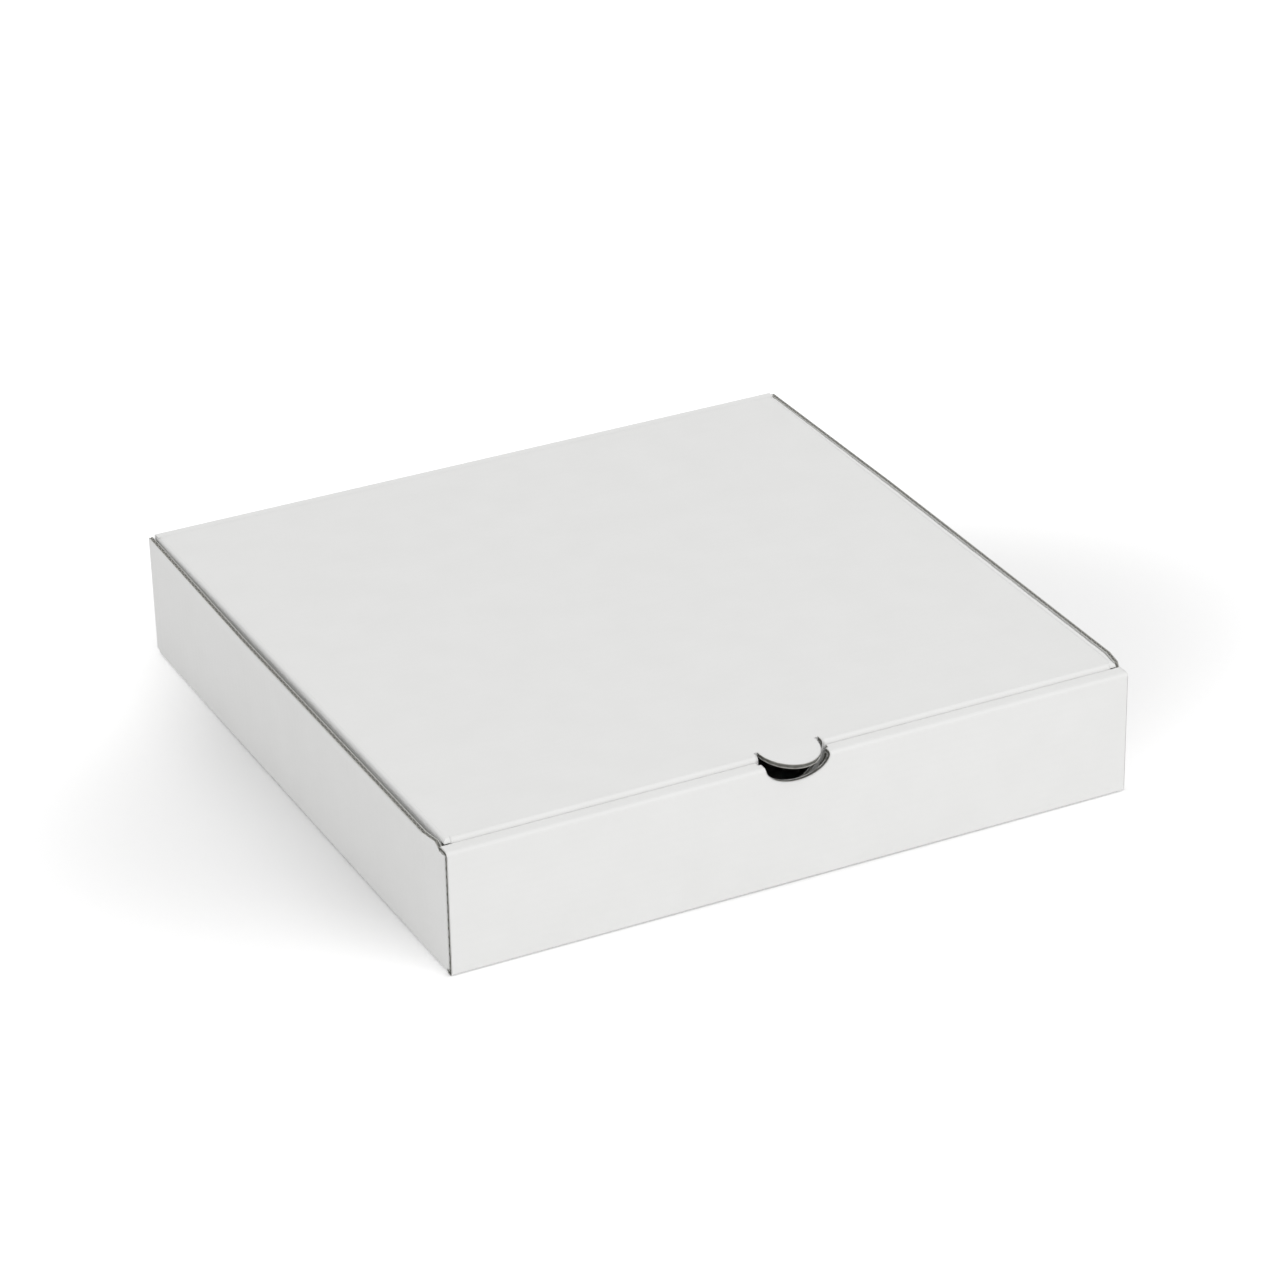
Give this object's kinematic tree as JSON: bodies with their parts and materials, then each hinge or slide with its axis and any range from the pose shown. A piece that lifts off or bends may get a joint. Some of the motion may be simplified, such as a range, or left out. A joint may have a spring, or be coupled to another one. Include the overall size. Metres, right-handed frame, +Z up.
{
  "type": "pizza box",
  "caption": "Plain white corrugated pizza box: square folded tray with a double roll-over front and thumb notch, and a hinged tuck-in lid.",
  "frame": {"origin": "centre of the base's underside, midway between the walls' outer faces", "axes": "+Z up, -Y towards the front wall with the thumb notch, +Y towards the hinge crease, +X to the right seen from the front"},
  "size_m": [0.2636, 0.2654, 0.0488],
  "materials": {
    "white_board": "satin"
  },
  "bodies": {
    "tray": {"tray": "white_board"},
    "lid": {"lid": "white_board"}
  },
  "joints": [
    {"name": "lid_hinge", "type": "hinge", "parent": "tray", "child": "lid", "pos_m": [0, 0.1292, 0.048], "axis": [-1, 0, 0], "range_deg": [0, 175]}
  ]
}
